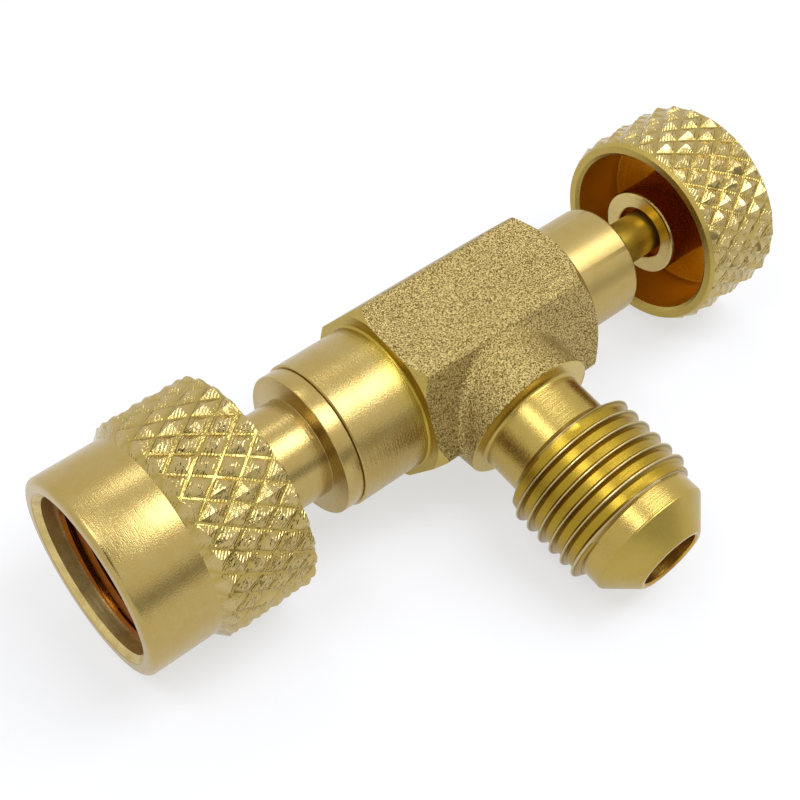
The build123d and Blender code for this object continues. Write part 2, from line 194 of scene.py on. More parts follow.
def mesh_of(name, grids):
    """Join grids into one mesh.

    Each grid is a dictionary: its points in millimetres, the material number (`finish`) of each
    row of faces, the depth of its points, and how its rows and columns close.
    """
    verts, faces, slots, depths, start = [], [], [], [], 0
    for grid in grids:
        points = grid["points"]
        rows, columns = points.shape[:2]
        loop, wrap = grid.get("loop", False), grid.get("wrap", True)
        tris = grid_faces(rows, columns, loop, wrap, grid.get("other"))
        verts.append(points.reshape(-1, 3) / 1000)
        faces.append(tris + start)
        bands = rows if loop else rows - 1
        band_slots = np.zeros(bands, int) + grid.get("finish", 0)
        slots.append(np.repeat(band_slots, len(tris) // bands))
        depths.append((np.zeros((rows, columns)) + grid.get("depth", 0)).ravel())
        start += rows * columns
    verts, faces, slots = np.concatenate(verts), np.concatenate(faces), np.concatenate(slots)
    mesh = bpy.data.meshes.new(name)
    mesh.vertices.add(len(verts))
    mesh.vertices.foreach_set("co", verts.ravel())
    mesh.loops.add(faces.size)
    mesh.loops.foreach_set("vertex_index", faces.ravel().astype(np.int32))
    mesh.polygons.add(len(faces))
    mesh.polygons.foreach_set("loop_start", np.arange(0, faces.size, 3, dtype=np.int32))
    mesh.polygons.foreach_set("material_index", slots.astype(np.int32))
    mesh.update(calc_edges=True)
    depth = mesh.attributes.new("depth", "FLOAT", "POINT")
    depth.data.foreach_set("value", np.concatenate(depths).astype(np.float32))
    merge = bmesh.new()
    merge.from_mesh(mesh)
    bmesh.ops.remove_doubles(merge, verts=merge.verts, dist=MERGE)
    bmesh.ops.dissolve_degenerate(merge, edges=merge.edges, dist=THINNEST)
    bmesh.ops.recalc_face_normals(merge, faces=merge.faces)
    merge.to_mesh(mesh)
    merge.free()
    return mesh


def make_piece(name, mesh, materials, body, stands_for):
    """Give a mesh its materials and its place among the moving bodies."""
    piece = bpy.data.objects.new(name, mesh)
    bpy.context.scene.collection.objects.link(piece)
    for material in materials:
        mesh.materials.append(material)
    mesh.shade_smooth()
    mesh.set_sharp_from_angle(angle=SHARP)
    weighted = piece.modifiers.new("flat faces stay flat", "WEIGHTED_NORMAL")
    weighted.keep_sharp = True
    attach(piece, body)
    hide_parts(stands_for)
    print(name, len(mesh.vertices), "points,", len(mesh.polygons), "triangles")


# %% [markdown]
# ## Brass, made from a few shared effects
#
# Each effect is a node group that gives a height or a mask, and each material turns that into
# colour, bump and a change of roughness.

# %% Node helpers
FLOAT, VECTOR = "NodeSocketFloat", "NodeSocketVector"


def feed(tree, socket, value):
    """Link a socket to another socket, or set its value."""
    if isinstance(value, bpy.types.NodeSocket):
        tree.links.new(value, socket)
    else:
        socket.default_value = value


def node(tree, kind, group=None, **inputs):
    """Add a node or a shared group, and set or link its inputs by name."""
    made = tree.nodes.new("ShaderNode" + kind)
    if group:
        made.node_tree = group
    for key, value in inputs.items():
        feed(tree, made.inputs[key.replace("_", " ")], value)
    return made


def maths(tree, operation, *values):
    """A Math node with its values set or linked in order."""
    made = node(tree, "Math")
    made.operation = operation
    for socket, value in zip(made.inputs, values):
        feed(tree, socket, value)
    return made.outputs[0]


def times(tree, first, second):
    """A product."""
    return maths(tree, "MULTIPLY", first, second)


def plus(tree, first, second):
    """A sum."""
    return maths(tree, "ADD", first, second)


def mixed(tree, factor, first, second):
    """Mix two colours."""
    made = node(tree, "Mix")
    made.data_type = "RGBA"
    feed(tree, made.inputs["Factor"], factor)
    feed(tree, made.inputs[6], first)
    feed(tree, made.inputs[7], second)
    return made.outputs[2]


def noise(tree, place, scale, detail=2.0, rough=0.5):
    """A noise from 0 to 1."""
    look = {"Vector": place, "Scale": scale, "Detail": detail, "Roughness": rough}
    return node(tree, "TexNoise", **look).outputs["Fac"]


def bumped(tree, height, strength, distance, over=None):
    """A normal bent by a height, over another normal if there is one."""
    bump = node(tree, "Bump", Height=height, Strength=strength, Distance=distance)
    if over:
        tree.links.new(over, bump.inputs["Normal"])
    return bump.outputs["Normal"]


def between(tree, value, low, high, to_low=0.0, to_high=1.0):
    """Map a value from one range to another, and stop at its ends."""
    limits = {"From_Min": low, "From_Max": high, "To_Min": to_low, "To_Max": to_high}
    return node(tree, "MapRange", Value=value, **limits).outputs["Result"]


def new_group(name, sockets_in, sockets_out):
    """An empty shader group with the sockets named."""
    group = bpy.data.node_groups.new(name, "ShaderNodeTree")
    for title, kind in sockets_in:
        group.interface.new_socket(title, in_out="INPUT", socket_type=kind)
    for title, kind in sockets_out:
        group.interface.new_socket(title, in_out="OUTPUT", socket_type=kind)
    print("group", name, "gives", ", ".join(title for title, _ in sockets_out))
    return group, group.nodes.new("NodeGroupInput"), group.nodes.new("NodeGroupOutput")


# %% [markdown]
# A lathe tool leaves fine rings. The noise that makes them is read at the station along X and at
# the radius, so round surfaces and flat faces both get rings. The third coordinate lets each ring
# fade in and out on its way round. A finer noise is the grain of the metal, and a coarse one the
# patches that have tarnished more. The port's materials turn the coordinates to its axis first.

# %% Turning marks
turning, turn_in, turn_out = new_group(
    "turning marks", [("Axis", VECTOR), ("Rings", FLOAT)], [("Height", FLOAT), ("Patch", FLOAT)]
)
along_axis = turn_in.outputs["Axis"]
split = node(turning, "SeparateXYZ", Vector=along_axis)
y_squared = times(turning, split.outputs["Y"], split.outputs["Y"])
z_squared = times(turning, split.outputs["Z"], split.outputs["Z"])
radius = maths(turning, "SQRT", plus(turning, y_squared, z_squared))
ring_place = node(
    turning,
    "CombineXYZ",
    X=times(turning, split.outputs["X"], turn_in.outputs["Rings"]),
    Y=times(turning, radius, turn_in.outputs["Rings"]),
    Z=times(turning, split.outputs["Y"], 500.0),
)
rings = noise(turning, ring_place.outputs[0], 1.0, 3.0, 0.6)
fine = noise(turning, along_axis, 9000.0, 1.0)
marks = plus(turning, rings, times(turning, fine, 0.9))
turning.links.new(marks, turn_out.inputs["Height"])
turning.links.new(noise(turning, along_axis, 600.0, 6.0, 0.75), turn_out.inputs["Patch"])

# %% [markdown]
# Knurling rolls leave fine lines beside one set of grooves. Round the axis a diamond is two steps
# of the angle, and along it two half lengths, so the sum of both runs square to those grooves. A
# slow noise bends the lines and makes them come and go.

# %% Roll marks on the diamonds
STARTS = 27

rolled, roll_in, roll_out = new_group(
    "roll marks",
    [("Axis", VECTOR), ("Starts", FLOAT), ("Half Length", FLOAT), ("Lines", FLOAT)],
    [("Height", FLOAT)],
)
along_axis = roll_in.outputs["Axis"]
split = node(rolled, "SeparateXYZ", Vector=along_axis)
turn = maths(rolled, "ARCTAN2", split.outputs["Z"], split.outputs["Y"])
turn = times(rolled, maths(rolled, "DIVIDE", turn, pi), roll_in.outputs["Starts"])
run = maths(rolled, "DIVIDE", split.outputs["X"], roll_in.outputs["Half Length"])
wave = times(rolled, plus(rolled, turn, run), roll_in.outputs["Lines"])
waver = noise(rolled, along_axis, 1500.0)
wave = plus(rolled, wave, times(rolled, waver, 5.0))
line = times(rolled, maths(rolled, "SINE", wave), between(rolled, waver, 0.42, 0.62))
rolled.links.new(line, roll_out.inputs["Height"])

# %% [markdown]
# A shot-blasted forging is covered in small dents. They are what gives it its sparkle: each dent
# turns a bit of the surface towards another part of the room. A rough noise gives the grain, round
# cells the dents, and the low places of the noise are the specks, where shade is painted in with
# some oxide.

# %% Blasted grains
grains, grain_in, grain_out = new_group(
    "blasted grains", [("Place", VECTOR)], [("Height", FLOAT), ("Pit Shade And Oxide", FLOAT)]
)
place = grain_in.outputs["Place"]
coarse = noise(grains, place, 7200.0, rough=0.8)
dents = node(grains, "TexVoronoi", Vector=place, Scale=8000.0).outputs["Distance"]
height = plus(grains, coarse, times(grains, dents, 0.45))
grains.links.new(height, grain_out.inputs["Height"])
# The specks mark the low places, where the brass is painted with shade and some oxide.
grains.links.new(between(grains, coarse, 0.40, 0.58), grain_out.inputs["Pit Shade And Oxide"])

# %% [markdown]
# ## The brass that comes off the lathe
#
# A brass is a metal: its colour is the colour of its reflections. The bright colour is for clean
# metal and the deep one for the patches and rings where a thin tarnish sits. One function makes
# every turned brass: they differ in the roughness of the cut, the rings and the tarnish.
#
# - `hollow` is the colour in a groove or corner, a painted shade, and the flank colour paints a
#   dark line of shade on the flank of a thread.
# - `drawn` stretches the reflections into the fan of sectors that a faced-off surface has.
# - `lines` adds the marks of the knurling rolls.

# %% Turned brass
# The pale colour is partly a painted highlight: it lightens the knurls and the crests of the port's
# thread, as if they caught more light.
BRASS, DEEP, PALE_SHEEN = (0.48, 0.365, 0.14), (0.43, 0.30, 0.085), (0.53, 0.425, 0.20)
HALF_DIAMOND = 0.00142  # metres, between the nut's diamonds and the wheel's
RING_DEPTH, ROLL_DEPTH = 0.00002, 0.000028


def opaque(colour):
    """A colour with its alpha."""
    return (*colour, 1.0)


def new_material(name, metallic=0.0):
    """A material, its node tree and its Principled shader."""
    material = bpy.data.materials.new(name)
    material.use_nodes = True
    shader = material.node_tree.nodes["Principled BSDF"]
    shader.inputs["Metallic"].default_value = metallic
    return material, material.node_tree, shader


def axis_place(tree, turned):
    """Object coordinates with the turned axis along X."""
    place = node(tree, "TexCoord")
    if turned == "main":
        return place.outputs["Object"]
    mapping = node(tree, "Mapping")
    mapping.vector_type = "POINT"
    back = Matrix.Rotation(-pi / 2, 4, "Z") @ Matrix.Rotation(-droop, 4, "X")
    mapping.inputs["Rotation"].default_value = back.to_euler("XYZ")
    mapping.inputs["Location"].default_value = -(back @ Vector((port_x / 1000, 0, 0)))
    tree.links.new(place.outputs["Object"], mapping.inputs["Vector"])
    return mapping.outputs["Vector"]


def painted_groove_shade(tree, colour, bright, hollow, flank_shade):
    """Paint shade into a colour by the depth that goes with the mesh: the hollow colour deeper
    down, and a dark line of shade on a thread's flank where one is given.
    """
    depth = node(tree, "Attribute")
    depth.attribute_name = "depth"
    shading = node(tree, "ValToRGB", Fac=depth.outputs["Fac"])
    ramp = shading.color_ramp.elements
    ramp[1].color = opaque(hollow)
    ramp[0].color = opaque(bright)
    # A thread's flank colour is a painted dark line of shade between crest and root.
    if flank_shade:
        ramp.new(0.3).color = opaque(flank_shade)
        ramp.new(0.6).color = opaque(hollow)
    colour = mixed(tree, depth.outputs["Fac"], colour, shading.outputs["Color"])
    return mixed(tree, 0.75, colour, shading.outputs["Color"]) if flank_shade else colour


def turned_brass(
    name, turned="main", rough=0.22, mark=0.5, rings=9000.0, bright=BRASS, deep=DEEP,
    hollow=None, flank_shade=None, drawn=0.0, lines=False
):
    """Brass off the lathe, with rings about one of the two axes."""
    material, tree, shader = new_material(name, metallic=1.0)
    axis = axis_place(tree, turned)
    group = node(tree, "Group", turning, Axis=axis, Rings=rings)
    ring_height = group.outputs["Height"]
    patch = between(tree, group.outputs["Patch"], 0.36, 0.66)
    stain = plus(tree, patch, times(tree, ring_height, 0.6))
    colour = mixed(tree, times(tree, stain, 0.5), opaque(bright), opaque(deep))
    if hollow:
        colour = painted_groove_shade(tree, colour, bright, hollow, flank_shade)
    tree.links.new(colour, shader.inputs["Base Color"])
    gloss = plus(tree, times(tree, ring_height, 0.16), rough - 0.17)
    tree.links.new(gloss, shader.inputs["Roughness"])
    if drawn:
        shader.inputs["Anisotropic"].default_value = drawn
        around = node(tree, "Tangent")
        around.direction_type = "RADIAL"
        around.axis = "X"
        tree.links.new(around.outputs["Tangent"], shader.inputs["Tangent"])
    scored = None
    if lines:
        sizes = {"Starts": float(STARTS), "Half_Length": HALF_DIAMOND, "Lines": 22.0}
        roll = node(tree, "Group", rolled, Axis=axis, **sizes)
        scored = bumped(tree, roll.outputs["Height"], 0.8, ROLL_DEPTH)
    ringed = bumped(tree, ring_height, mark, RING_DEPTH, over=scored)
    tree.links.new(ringed, shader.inputs["Normal"])
    return material


# %% [markdown]
# The outside of the valve is bright, with a finer, duller cut where a form tool made a fillet. The
# shoulder turns a deeper gold towards the hexagon, a shade painted into the corner.

# %% Brass about the valve's own axis
turned = turned_brass("turned brass", rough=0.25, mark=0.6)
satin = turned_brass("satin brass", rough=0.34, mark=0.35, rings=16000.0)
# Painted shade: the shoulder's corner colour paints a deeper gold into the corner before the
# hexagon.
shoulder_corner_shade_brass = turned_brass("shoulder brass, corner shade", rough=0.29, mark=0.9, hollow=(0.40, 0.28, 0.015))
cut_brass = turned_brass(
    "cut brass", rough=0.24, bright=(0.50, 0.38, 0.12), deep=(0.40, 0.28, 0.05)
)
stem_brass = turned_brass(
    "stem brass", rough=0.42, bright=(0.66, 0.45, 0.055), deep=(0.6, 0.39, 0.04)
)
# The knurl's groove colour is a painted shade with a little dirt.
knurled = turned_brass(
    "knurled brass", rough=0.12, rings=7000.0, bright=PALE_SHEEN, hollow=(0.42, 0.31, 0.085), lines=True
)
print(len(bpy.data.materials), "brasses so far")

# %% [markdown]
# In a hollow the light strikes the brass several times, and each time it loses more of its blue and
# green. The brasses inside the nut and the wheel's cup paint that in: the nut's thread and the
# cup's floor are a painted shade, deeper and redder than those outside, and the cup's wall a
# painted golden reflection. The nut's mouth is painted lighter than its shade. The faces of the rim
# and of the cup's floor are drawn, as faced-off surfaces are.

# %% Brass in the hollows, with painted shade and reflection, and the wheel's faces
# Painted shade: the thread inside the nut is coloured a dark red-brown.
shaded_nut_thread = turned_brass(
    "nut thread brass, painted shade", rough=0.3, bright=(0.24, 0.075, 0.008), deep=(0.18, 0.05, 0.004)
)
# Painted light: the nut's mouth is coloured lighter than its shade leaves it.
mouth = turned_brass("nut mouth brass, painted light", rough=0.4, bright=(0.82, 0.66, 0.30))
# Painted shade: the cup's floor is coloured a deep red.
cup_shade_brass = turned_brass(
    "cup brass, painted shade", rough=0.27, mark=0.1, rings=5000.0, drawn=0.9,
    bright=(0.60, 0.28, 0.018), deep=(0.52, 0.21, 0.01)
)
# Painted reflection: the cup's wall is coloured a strong gold, as brass reflecting itself.
cup_wall_reflection_brass = turned_brass(
    "cup wall brass, painted reflection", rough=0.42, bright=(0.66, 0.44, 0.04), deep=(0.6, 0.37, 0.025)
)
hub_brass = turned_brass("hub brass", rough=0.16, bright=(0.60, 0.46, 0.17), deep=BRASS)
rim_brass = turned_brass(
    "wheel rim brass", rough=0.3, bright=(0.47, 0.35, 0.10), deep=(0.42, 0.30, 0.06), drawn=0.8
)
print(len(bpy.data.materials), "brasses so far")

# %% [markdown]
# The port was turned in a second setting, about its own axis, and is a little more golden. Its
# thread has crests painted pale as a highlight, flanks with a painted dark line of shade and roots
# in a deeper gold of painted shade.

# %% Brass about the port's axis
GOLD = (0.47, 0.345, 0.08)
port_turned = turned_brass("port brass", "port", rough=0.27, mark=0.6, bright=GOLD)
port_satin = turned_brass(
    "port satin brass", "port", rough=0.34, rings=16000.0, bright=GOLD, deep=(0.40, 0.285, 0.06)
)
# Painted highlight on the crests, a painted dark line of shade on the flanks, and painted shade in
# the golden roots.
port_thread = turned_brass(
    "port thread brass", "port", rough=0.32, mark=0.3, bright=PALE_SHEEN,
    hollow=(0.36, 0.235, 0.024), flank_shade=(0.10, 0.06, 0.01)
)
bore_brass = turned_brass(
    "port bore brass", "port", rough=0.35, bright=(0.62, 0.40, 0.07), deep=(0.42, 0.19, 0.025)
)
ring_brass = turned_brass(
    "boss face brass", "port", rough=0.3, bright=(0.56, 0.42, 0.09), deep=(0.5, 0.36, 0.05)
)
print("rings about", [round(v, 4) for v in port_way])

# %% [markdown]
# ## The forged skin and the soft parts
#
# The forging keeps its blasted skin between the turned ends: dark specks in the dents, painted
# shade with some oxide, and bright brass between them. The seals are black rubber, and the gasket
# and gland ring pale plastic.

# %% Blasted brass, rubber and plastic
GRAIN_DEPTH = 0.00012


def blasted_brass(name):
    """The forging's grainy skin."""
    material, tree, shader = new_material(name, metallic=1.0)
    place = node(tree, "TexCoord")
    group = node(tree, "Group", grains, Place=place.outputs["Object"])
    # The dark colour is painted shade in the pits, with some oxide.
    dark, bright = (0.13, 0.085, 0.016, 1), (0.60, 0.46, 0.175, 1)
    colour = mixed(tree, group.outputs["Pit Shade And Oxide"], dark, bright)
    tree.links.new(colour, shader.inputs["Base Color"])
    shader.inputs["Roughness"].default_value = 0.38
    dented = bumped(tree, group.outputs["Height"], 0.9, GRAIN_DEPTH)
    tree.links.new(dented, shader.inputs["Normal"])
    return material


def plain_stuff(name, colour, rough):
    """Rubber or plastic with a faint mould grain."""
    material, tree, shader = new_material(name)
    place = node(tree, "TexCoord").outputs["Object"]
    grain = noise(tree, place, 2500.0, 3.0)
    darker = opaque(c * 0.8 for c in colour)
    tree.links.new(mixed(tree, grain, darker, opaque(colour)), shader.inputs["Base Color"])
    shader.inputs["Roughness"].default_value = rough
    tree.links.new(bumped(tree, grain, 0.3, RING_DEPTH), shader.inputs["Normal"])
    return material


blasted = blasted_brass("blasted brass")
rubber = plain_stuff("seal rubber", (0.025, 0.024, 0.023), 0.55)
plastic = plain_stuff("gasket plastic", (0.80, 0.78, 0.72), 0.45)
print(len(bpy.data.materials), "materials")

# %% [markdown]
# ## The diamond knurl
#
# A knurling tool rolls two sets of crossing grooves into the metal, and leaves diamonds. The depth
# only depends on the distance to the nearest groove line, so a grid whose steps divide a diamond
# evenly holds every ridge and groove. Each quad is cut along the diagonal that follows the ridge.

# %% Knurl height as a function of place
GROOVE_ANGLE = radians(36)
GROOVE_DEPTH = 0.4
STEPS = 11
KNURL_COLUMNS = 2 * STARTS * STEPS


def knurled_piece(name, grids, materials, body, stands_for):
    """Make the nut or the wheel from its upright grids."""
    placed = [{**grid, "points": main_axis(grid["points"])} for grid in grids]
    mesh = mesh_of(name, placed)
    make_piece(name + "_shell", mesh, materials, body, stands_for)


def half_diamond(crest_r):
    """Half the length of a diamond, from its width at the groove floor."""
    return pi * (crest_r - GROOVE_DEPTH) / STARTS / tan(GROOVE_ANGLE)


def diamond_way(crest_r, start, x, angles):
    """Place round the axis and along it, in half diamonds."""
    half_length = half_diamond(crest_r)
    return angles * STARTS / pi, (x - start + half_length * 0.5) / half_length


def diamond_place(across, along):
    """Place in a diamond, from -1 to 1 along each of the two ways square to the grooves."""
    return (across + along + 1) % 2 - 1, (across - along + 1) % 2 - 1


def knurl_depth(crest_r, start, x, angles, seed):
    """How far below the crest each point lies, from 0 on a crest to 1 in a groove.

    The tool never bites evenly, so each diamond is a little lower or leans more than the next.
    """
    across, along = diamond_way(crest_r, start, x, angles)
    u, v = diamond_place(across, along)
    inside = np.minimum(1 - np.abs(u), 1 - np.abs(v))
    height = np.clip((inside - 1 / STEPS) / (1 - 2 / STEPS), 0, 1)
    u_cell = np.floor((across + along + 1) / 2).astype(int)
    v_cell = np.floor((across - along + 1) / 2).astype(int)
    table = np.random.default_rng(seed).uniform(-1, 1, (3, 64, 64))
    low, lean_u, lean_v = table[:, (u_cell + v_cell) % STARTS, (u_cell - v_cell) % 64]
    return 1 - height * (0.94 + 0.06 * low + 0.2 * lean_u * u + 0.2 * lean_v * v)


def knurl_rows(crest_r, start, end, fine=()):
    """Stations that divide each diamond evenly, with extra ones inside the fine spans."""
    step = half_diamond(crest_r) / STEPS
    first = start - half_diamond(crest_r) * 0.5
    rows = first + step * np.arange(int((end - first) / step) + 2)
    for low, high in fine:
        inside = rows[(rows > low - step) & (rows < high + step)]
        rows = np.concatenate([rows, inside + step / 3, inside + 2 * step / 3])
    rows = np.unique(np.round(rows, 5))
    return np.concatenate([[start], rows[(rows > start + 0.01) & (rows < end - 0.01)], [end]])


def knurl_grid(crest_r, start, end, limit, fine, seed):
    """The knurled band, cut back to the limit radius that its chamfers leave."""
    angles = ring_angles(KNURL_COLUMNS)
    rows = knurl_rows(crest_r, start, end, fine)
    x, around = np.meshgrid(rows, angles, indexing="ij")
    depth = np.clip(knurl_depth(crest_r, start, x, around, seed), 0, 1)
    r = np.minimum(crest_r - depth * GROOVE_DEPTH, limit(x))
    middles = (rows + np.roll(rows, -1)) / 2, angles + angles[1] / 2
    middle_x, middle_angle = np.meshgrid(*middles, indexing="ij")
    u, v = diamond_place(*diamond_way(crest_r, start, middle_x, middle_angle))
    return {"points": polar(x, r, around), "depth": depth, "other": np.abs(u) > np.abs(v)}


print("knurl:", STARTS, "starts,", KNURL_COLUMNS, "columns")

# %% [markdown]
# ## Screw threads
#
# A thread is a profile that climbs one pitch a turn. The rows of the grid follow the helix, so
# each crest and root is an unbroken line, and the seam closes because one turn of climb brings a
# row onto the next one. Past the ends, every row is folded onto the end ring.

# %% Thread grid
PITCH = 1.27
HALF_CREST = 0.05
FLANK_ANGLE = radians(30)


def thread_grid(ends, end_radii, limit, crest_r, height, inside=False, phase=0.0, columns=SIDES):
    """A 60 degree thread between two stations, with narrow crests and wide roots."""
    (start, end), (start_r, end_r) = ends, end_radii
    flank = height * tan(FLANK_ANGLE)
    keys = [
        (-HALF_CREST, 0.0), (HALF_CREST, 0.0), (HALF_CREST + flank, 1.0), (PITCH / 2, 1.0),
        (PITCH - HALF_CREST - flank, 1.0),
    ]
    turns = int((end - start) / PITCH) + 3
    s = np.array([start + (n - 2 + phase) * PITCH + k for n in range(turns) for k, _ in keys])
    d = np.array([d for _ in range(turns) for _, d in keys])
    angles = np.linspace(0, 2 * pi, columns + 1)
    x = s[:, None] + PITCH * angles / (2 * pi)
    depth = d[:, None] + np.zeros(columns + 1)
    r = crest_r + height * depth if inside else crest_r - height * depth
    r = np.maximum(r, limit(x)) if inside else np.minimum(r, limit(x))
    before, after = x < start, x > end
    r = np.where(before, start_r, np.where(after, end_r, r))
    depth = np.where(before | after, 0.0, depth)
    x = np.clip(x, start, end)
    return {"points": polar(x, r, angles + np.zeros_like(x)), "depth": depth, "wrap": False}


print("thread:", PITCH, "mm pitch,", round(25.4 / PITCH), "turns an inch")

# %% [markdown]
# ## The swivel nut
#
# The nut is one closed loop: out along the sleeve, over the knurl, round the back wall and in
# through the chamber and the thread to the mouth. Its grids share one number of columns, so they
# meet exactly. The sleeve was turned down after knurling, so the diamonds end in a chamfer.

# %% Knurl and thread of the nut
NUT_SLEEVE_R, NUT_CREST_R, NUT_KNURL_START = 8.475, 9.4, 6.0
NUT_MOUTH_R, NUT_MOUTH_DEPTH, NUT_RUN_IN_R = 6.8, 1.6, 6.42
NUT_THREAD_END, NUT_THREAD_HEIGHT = 7.2, 0.6
NUT_RELIEF_R, NUT_RELIEF_END = 6.7, 8.1
NUT_CHAMBER_R, NUT_WALL, NUT_HOLE_R = 5.9, 11.9, 4.33
NUT_TURNED, NUT_THREAD, NUT_KNURL, NUT_MOUTH = range(4)
nut_materials = [turned, shaded_nut_thread, knurled, mouth]


def nut_limit(x):
    """The front chamfer and the light chamfer at the back."""
    front = NUT_SLEEVE_R + (x - NUT_KNURL_START)
    return np.minimum(front, NUT_CREST_R + np.minimum(0, nut_rear - 0.2 - x))


def nut_run_in(x):
    """The cone at the start of the thread."""
    return NUT_RUN_IN_R - (x - NUT_MOUTH_DEPTH)


nut_fine = [(NUT_KNURL_START, NUT_KNURL_START + 1.2), (nut_rear - 0.4, nut_rear)]
nut_knurl = knurl_grid(NUT_CREST_R, NUT_KNURL_START, nut_rear, nut_limit, nut_fine, seed=3)
nut_ends = (NUT_MOUTH_DEPTH, NUT_THREAD_END), (NUT_RUN_IN_R, NUT_RELIEF_R)
nut_thread = thread_grid(
    *nut_ends, nut_run_in, minor_r, NUT_THREAD_HEIGHT, inside=True, columns=KNURL_COLUMNS
)
print("nut: thread bore", round(2 * minor_r, 2), "mm")

# %% [markdown]
# The rest of the nut is turned. The rim of the sleeve is rounded, because it is handled, and the
# mouth is bored out and chamfered to lead the fitting in.

# %% Turned faces of the nut
hole_edge = swept([(nut_rear, NUT_HOLE_R + 0.2)], KNURL_COLUMNS)[0]
back = nut_knurl["points"][-1]
nut_back = {"points": np.stack([back, back * [1, 0.86, 0.86], hole_edge])}
nut_inside = lathe(
    [
        (nut_rear, NUT_HOLE_R + 0.2), (nut_rear - 0.05, NUT_HOLE_R + 0.06),
        (nut_rear - 0.2, NUT_HOLE_R), (NUT_WALL, NUT_HOLE_R), (NUT_WALL, NUT_CHAMBER_R - 0.1),
        (NUT_WALL - 0.1, NUT_CHAMBER_R), (NUT_RELIEF_END, NUT_CHAMBER_R),
        (NUT_RELIEF_END, NUT_RELIEF_R), (NUT_THREAD_END, NUT_RELIEF_R),
    ],
    KNURL_COLUMNS,
    finish=NUT_THREAD,
)
nut_sleeve = lathe(
    [
        (NUT_MOUTH_DEPTH, NUT_RUN_IN_R), (NUT_MOUTH_DEPTH, NUT_MOUTH_R), (0.5, NUT_MOUTH_R),
        (0.06, NUT_MOUTH_R + 0.44), (0.0, NUT_MOUTH_R + 0.56), (0.0, NUT_SLEEVE_R - 0.5),
        (0.04, NUT_SLEEVE_R - 0.34), (0.13, NUT_SLEEVE_R - 0.18), (0.26, NUT_SLEEVE_R - 0.07),
        (0.45, NUT_SLEEVE_R), (NUT_KNURL_START, NUT_SLEEVE_R),
    ],
    KNURL_COLUMNS,
    finish=[NUT_THREAD, NUT_MOUTH, NUT_MOUTH] + [NUT_TURNED] * 7,
)
nut_knurl["finish"], nut_thread["finish"] = NUT_KNURL, NUT_THREAD
nut_grids = [nut_sleeve, nut_knurl, nut_back, nut_inside, nut_thread]
knurled_piece("nut", nut_grids, nut_materials, "nut", "swivel_nut")

# %% [markdown]
# ## The handwheel
#
# The wheel has the same knurl, a deep cup turned into its face to save metal and a hub in the
# middle of it. The stem's end is riveted over in the back. The bevel of the front edge is wide, so
# the first rows of diamonds fade into it.

# %% Handwheel
WHEEL_CREST_R, WHEEL_RIM_R, WHEEL_BEVEL = 9.15, 8.55, 1.1
CUP_R, CUP_FLOOR = 7.6, 63.85
HUB_R, HUB_FACE = 3.98, 58.65
POCKET_R, POCKET_FLOOR = 2.49, 60.25
SPIGOT_R, RIVET_R, RIVET_DEPTH = 1.62, 2.32, 0.7
WHEEL_TURNED, WHEEL_CUP, WHEEL_KNURL, WHEEL_HUB, WHEEL_RIM, WHEEL_WALL = range(6)
wheel_materials = [turned, cup_shade_brass, knurled, hub_brass, rim_brass, cup_wall_reflection_brass]


def wheel_limit(x):
    """The bevels at the wheel's two edges."""
    rise = (x - wheel_front) * (WHEEL_CREST_R - WHEEL_RIM_R) / WHEEL_BEVEL
    return np.minimum(WHEEL_RIM_R + rise, WHEEL_CREST_R + np.minimum(0, wheel_rear - 0.4 - x))


wheel_fine = [(wheel_front, wheel_front + WHEEL_BEVEL + 0.1), (wheel_rear - 0.6, wheel_rear)]
wheel_knurl = knurl_grid(WHEEL_CREST_R, wheel_front, wheel_rear, wheel_limit, wheel_fine, seed=5)
wheel_knurl["finish"] = [
    WHEEL_RIM if x < wheel_front + 0.35 else WHEEL_KNURL
    for x in wheel_knurl["points"][:-1, 0, 0]
]
rim, back = wheel_knurl["points"][0], wheel_knurl["points"][-1]
rivet_edge = swept([(wheel_rear, RIVET_R)], KNURL_COLUMNS)[0]
wheel_back = {"points": np.stack([back, back * [1, 0.97, 0.97], rivet_edge])}
wheel_cup = lathe(
    [
        (wheel_rear, RIVET_R), (wheel_rear - RIVET_DEPTH, SPIGOT_R), (POCKET_FLOOR, SPIGOT_R),
        (POCKET_FLOOR, POCKET_R), (HUB_FACE + 0.1, POCKET_R), (HUB_FACE, POCKET_R + 0.1),
        (HUB_FACE, HUB_R - 0.2), (HUB_FACE + 0.06, HUB_R - 0.06), (HUB_FACE + 0.2, HUB_R),
        (CUP_FLOOR - 0.3, HUB_R), (CUP_FLOOR - 0.08, HUB_R + 0.08), (CUP_FLOOR, HUB_R + 0.3),
        (CUP_FLOOR, CUP_R - 0.3), (CUP_FLOOR - 0.08, CUP_R - 0.08), (CUP_FLOOR - 0.3, CUP_R),
        (wheel_front + 0.3, CUP_R), (wheel_front, CUP_R + 0.3),
    ],
    KNURL_COLUMNS,
    finish=[WHEEL_TURNED] + [WHEEL_CUP] * 3 + [WHEEL_HUB] * 4
    + [WHEEL_CUP] * 5 + [WHEEL_WALL] * 2 + [WHEEL_RIM],
)
wheel_face = {"points": np.stack([wheel_cup["points"][-1], rim]), "finish": WHEEL_RIM}
wheel_grids = [wheel_knurl, wheel_back, wheel_cup, wheel_face]
knurled_piece("wheel", wheel_grids, wheel_materials, "wheel_and_stem", "handwheel")

# %% [markdown]
# ## The body
#
# The body starts as a hot forging, a hexagon bar with a side boss, and is blasted clean. Both ends
# are then turned. A turned grid holds the hexagon too, because its radius is only a function of
# the angle. The columns crowd at its rounded edges.

# %% Hexagon section
HEX_HALF, HEX_EDGE = 7.145, 0.6
HEX_FRONT, HEX_REAR = 27.7, 46.0
EDGE_COLUMNS, FLAT_COLUMNS = 9, 27


